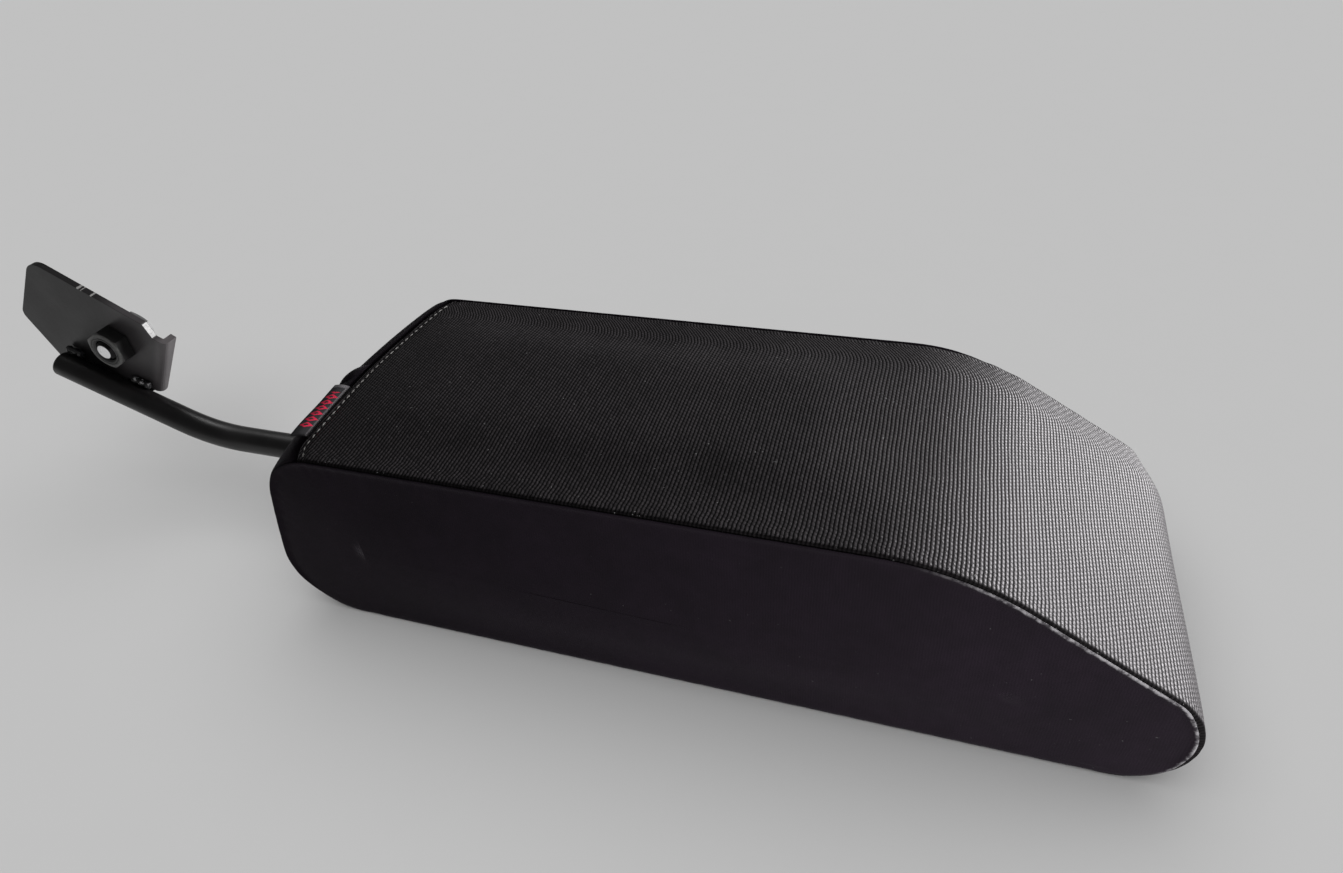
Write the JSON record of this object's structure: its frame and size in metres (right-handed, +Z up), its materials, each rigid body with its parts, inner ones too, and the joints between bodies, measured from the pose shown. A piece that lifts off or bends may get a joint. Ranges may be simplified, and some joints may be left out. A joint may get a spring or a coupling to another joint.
{
  "type": "seat armrest",
  "caption": "Padded fabric armrest on a bent steel rod, with a welded bracket that folds up about one hexagon bolt on the side of a seat.",
  "frame": {"origin": "on the surface that the pad lies on, under the middle of the whole armrest's length and width", "axes": "+X towards the nose of the pad, +Z up, +Y towards the seat, which is the side that the bolt's head and the flange are on"},
  "size_m": [0.51, 0.118, 0.1125],
  "materials": {
    "black_paint": "glossy black paint",
    "bright_zinc": "bright zinc plate",
    "plain_steel": "plain mild steel",
    "plywood": "sanded plywood",
    "foam": "open-cell foam",
    "ribbed_fabric": "ribbed woven upholstery cloth",
    "plain_fabric": "fine plain upholstery cloth",
    "woven_label": "woven label tape"
  },
  "bodies": {
    "pivot": {"pivot_bolt": "bright_zinc", "spring_washer": "bright_zinc", "flat_washer": "bright_zinc"},
    "arm": {"arm_rod": "black_paint", "bracket_plate": "black_paint", "weld_nut": "black_paint", "rod_weld_front": "black_paint", "rod_weld_rear": "black_paint", "mount_strip": "plain_steel", "strip_weld_near": "plain_steel", "strip_weld_far": "plain_steel", "core_board": "plywood", "core_screw_1": "plain_steel", "core_screw_2": "plain_steel", "core_screw_3": "plain_steel", "core_screw_4": "plain_steel", "foam_upper": "foam", "foam_lower": "foam", "cover_side_near": "plain_fabric", "cover_side_far": "plain_fabric", "cover_top": "ribbed_fabric", "cover_underside": "plain_fabric", "cover_rear_near": "plain_fabric", "cover_rear_far": "plain_fabric", "closure_flap": "plain_fabric", "label_tab": "woven_label"}
  },
  "joints": [
    {"name": "fold_up", "type": "hinge", "parent": "pivot", "child": "arm", "pos_m": [-0.2028, 0, 0.0743], "axis": [0, -1, 0], "range_deg": [0, 95]}
  ]
}
